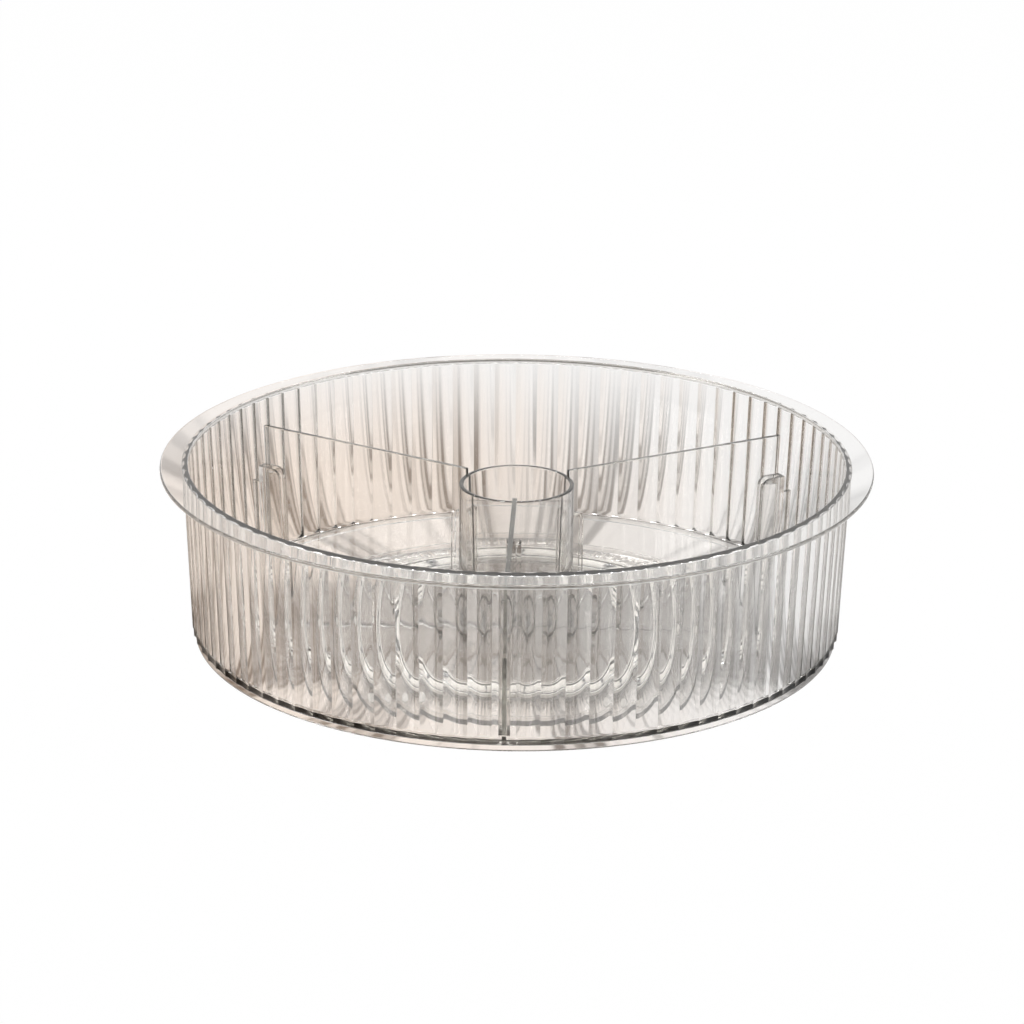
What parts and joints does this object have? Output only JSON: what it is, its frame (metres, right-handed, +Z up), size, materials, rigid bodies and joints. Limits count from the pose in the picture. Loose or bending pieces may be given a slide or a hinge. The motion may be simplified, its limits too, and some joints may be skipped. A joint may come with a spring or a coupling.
{
  "type": "rotating storage caddy",
  "caption": "Round clear fluted storage tray with a flat rim, a centre cup and lift-out radial dividers, which turns on a hidden ball race above a low base.",
  "frame": {"origin": "on the table, under the middle of the base, on the axis that the tray turns about", "axes": "+Z up along the turning axis; +Y away from the divider that stands at the front; +X to the right"},
  "size_m": [0.3, 0.3, 0.0816],
  "materials": {
    "clear_plastic": "clear, polished, with a faint warm grey cast",
    "divider_plastic": "clear, polished sheet",
    "cage_plastic": "natural white, smooth",
    "ball_steel": "polished",
    "foot_rubber": "soft, translucent, matt",
    "pivot_steel": "zinc plated"
  },
  "bodies": {
    "base": {"base": "clear_plastic", "foot_1": "foot_rubber", "foot_2": "foot_rubber", "foot_3": "foot_rubber", "foot_4": "foot_rubber", "foot_5": "foot_rubber", "foot_6": "foot_rubber"},
    "tray": {"tray": "clear_plastic", "pivot_washer": "pivot_steel", "pivot_screw": "pivot_steel"},
    "race": {"ball_cage": "cage_plastic", "ball_1": "ball_steel", "ball_2": "ball_steel", "ball_3": "ball_steel", "ball_4": "ball_steel", "ball_5": "ball_steel", "ball_6": "ball_steel", "ball_7": "ball_steel", "ball_8": "ball_steel", "ball_9": "ball_steel", "ball_10": "ball_steel", "ball_11": "ball_steel", "ball_12": "ball_steel"},
    "divider_front": {"divider_front": "divider_plastic"},
    "divider_right": {"divider_right": "divider_plastic"},
    "divider_left": {"divider_left": "divider_plastic"}
  },
  "joints": [
    {"name": "tray_spin", "type": "hinge", "parent": "base", "child": "tray", "pos_m": [0, 0, 0.0055], "axis": [0, 0, 1], "continuous": true},
    {"name": "race_spin", "type": "hinge", "parent": "base", "child": "race", "pos_m": [0, 0, 0.0055], "axis": [0, 0, 1], "continuous": true},
    {"name": "divider_front_lift", "type": "slide", "parent": "tray", "child": "divider_front", "axis": [0, 0, 1], "range_m": [0, 0.075]},
    {"name": "divider_right_lift", "type": "slide", "parent": "tray", "child": "divider_right", "axis": [0, 0, 1], "range_m": [0, 0.075]},
    {"name": "divider_left_lift", "type": "slide", "parent": "tray", "child": "divider_left", "axis": [0, 0, 1], "range_m": [0, 0.075]}
  ],
  "couplings": [
    {"joint": "race_spin", "follows": "tray_spin", "ratio": 0.5}
  ]
}
